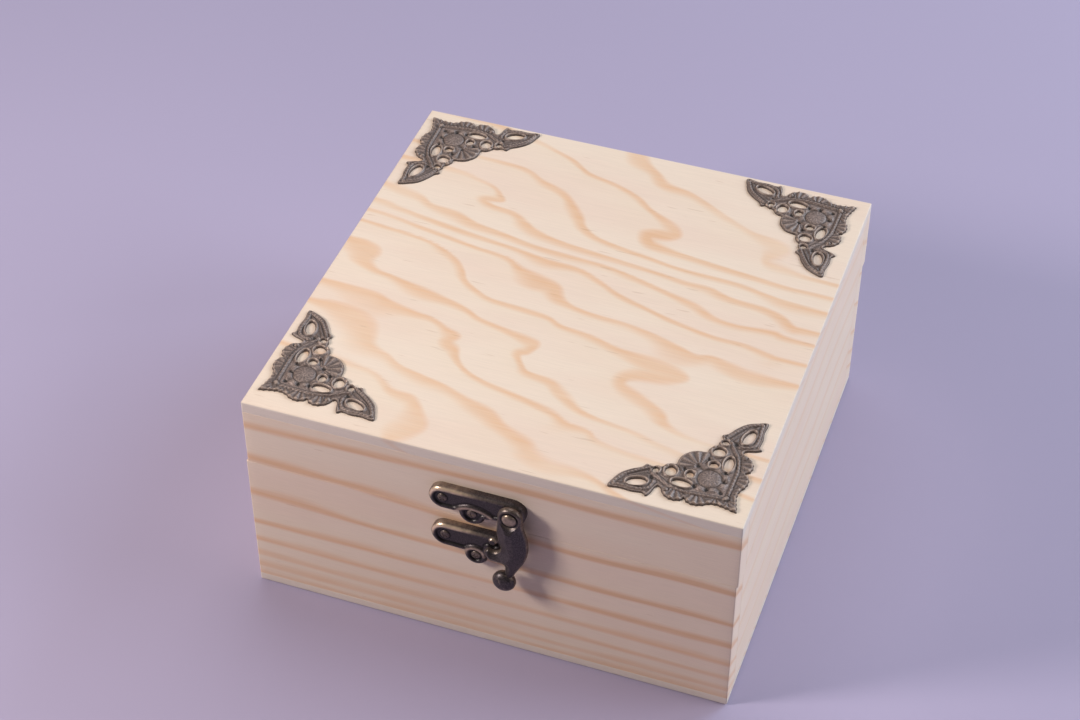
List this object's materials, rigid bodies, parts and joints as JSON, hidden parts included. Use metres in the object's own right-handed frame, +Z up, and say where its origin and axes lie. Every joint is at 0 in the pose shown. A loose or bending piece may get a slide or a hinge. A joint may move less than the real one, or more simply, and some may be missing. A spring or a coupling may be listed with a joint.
{
  "type": "wooden storage box",
  "caption": "Square softwood keepsake box with a lid hinged at the back, pierced corner ornaments and a swing-hook latch on the front.",
  "frame": {"origin": "middle of the underside of the bottom board, on the surface that the box stands on", "axes": "+Z up, the front with the latch faces -Y and the hinges +Y, +X to the right of someone who faces the front"},
  "size_m": [0.1606, 0.1709, 0.0818],
  "materials": {
    "pine": "sanded, unfinished",
    "pine_edge": "sanded, unfinished",
    "gunmetal": "dark antiqued, rubbed edges",
    "antique_bronze": "dark antiqued, rubbed edges"
  },
  "bodies": {
    "base": {"base_bottom_board": "pine_edge", "base_front_wall": "pine", "base_back_wall": "pine", "base_left_wall": "pine", "base_right_wall": "pine", "latch_lower_plate": "antique_bronze", "latch_lower_left_screw": "antique_bronze", "latch_lower_middle_screw": "antique_bronze", "hinge_left_base_leaf": "antique_bronze", "hinge_left_base_screw_1": "antique_bronze", "hinge_left_base_screw_2": "antique_bronze", "hinge_left_pin": "antique_bronze", "hinge_right_base_leaf": "antique_bronze", "hinge_right_base_screw_1": "antique_bronze", "hinge_right_base_screw_2": "antique_bronze", "hinge_right_pin": "antique_bronze"},
    "lid": {"lid_front_rail": "pine", "lid_back_rail": "pine", "lid_left_rail": "pine", "lid_right_rail": "pine", "lid_top_board": "pine", "corner_ornament_back_left": "gunmetal", "corner_ornament_back_right": "gunmetal", "corner_ornament_front_left": "gunmetal", "corner_ornament_front_right": "gunmetal", "latch_upper_plate": "antique_bronze", "latch_rivet": "antique_bronze", "latch_upper_left_screw": "antique_bronze", "latch_upper_middle_screw": "antique_bronze", "hinge_left_lid_leaf": "antique_bronze", "hinge_left_lid_screw_1": "antique_bronze", "hinge_left_lid_screw_2": "antique_bronze", "hinge_right_lid_leaf": "antique_bronze", "hinge_right_lid_screw_1": "antique_bronze", "hinge_right_lid_screw_2": "antique_bronze"},
    "hook": {"latch_hook": "antique_bronze"}
  },
  "joints": [
    {"name": "lid_hinge", "type": "hinge", "parent": "base", "child": "lid", "pos_m": [0, 0.0819, 0.055], "axis": [-1, 0, 0], "range_deg": [0, 175]},
    {"name": "hook_swing", "type": "hinge", "parent": "lid", "child": "hook", "pos_m": [0.0098, -0.0847, 0.06458], "axis": [0, -1, 0], "range_deg": [0, 120]}
  ]
}
